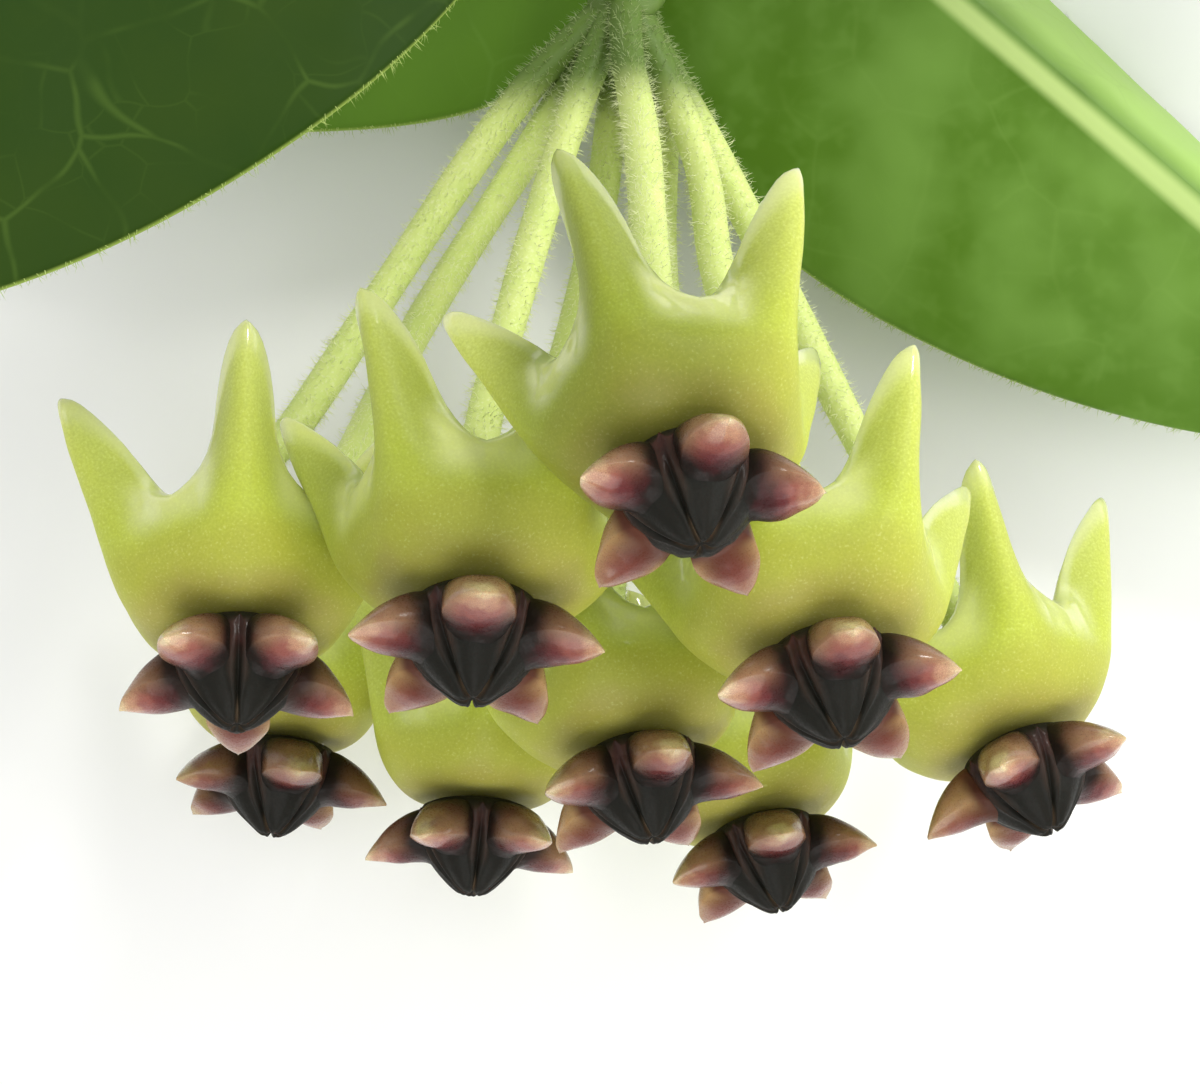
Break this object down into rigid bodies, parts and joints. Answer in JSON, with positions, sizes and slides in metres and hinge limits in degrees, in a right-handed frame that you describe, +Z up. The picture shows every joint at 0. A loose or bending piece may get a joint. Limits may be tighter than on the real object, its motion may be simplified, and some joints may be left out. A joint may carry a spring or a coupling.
{
  "type": "wax plant",
  "caption": "Cut sprig of a wax plant: a head of thick yellow-green reflexed flowers with dark red crowns on hairy stalks, and pairs of pointed green leaves on an arched stem.",
  "frame": {"origin": "under the middle of the sprig's bounding box, on the surface it lies on", "axes": "+X from the two left leaves to the two right ones, +Y from the flowers to the stem's cut end, +Z up from the surface"},
  "size_m": [0.0918, 0.0758, 0.0408],
  "materials": {
    "corolla": "waxy, thick and slightly glossy, yellow-green petal",
    "crown": "glossy, near-black in the middle, dark red lobes with pale tips",
    "stalk": "soft pale green with short white hairs",
    "leaf": "satin green leaf with paler veins and underside",
    "stem": "matte green-brown twig"
  },
  "bodies": {
    "root": {"corolla_1": "corolla", "crown_1": "crown", "corolla_2": "corolla", "crown_2": "crown", "corolla_3": "corolla", "crown_3": "crown", "corolla_4": "corolla", "crown_4": "crown", "corolla_5": "corolla", "crown_5": "crown", "corolla_6": "corolla", "crown_6": "crown", "corolla_7": "corolla", "crown_7": "crown", "corolla_8": "corolla", "crown_8": "crown", "corolla_9": "corolla", "crown_9": "crown", "flower_stalks": "stalk", "leaf_left_front": "leaf", "leaf_left_back": "leaf", "leaf_right": "leaf", "leaf_right_upper": "leaf", "stem": "stem"}
  },
  "joints": []
}
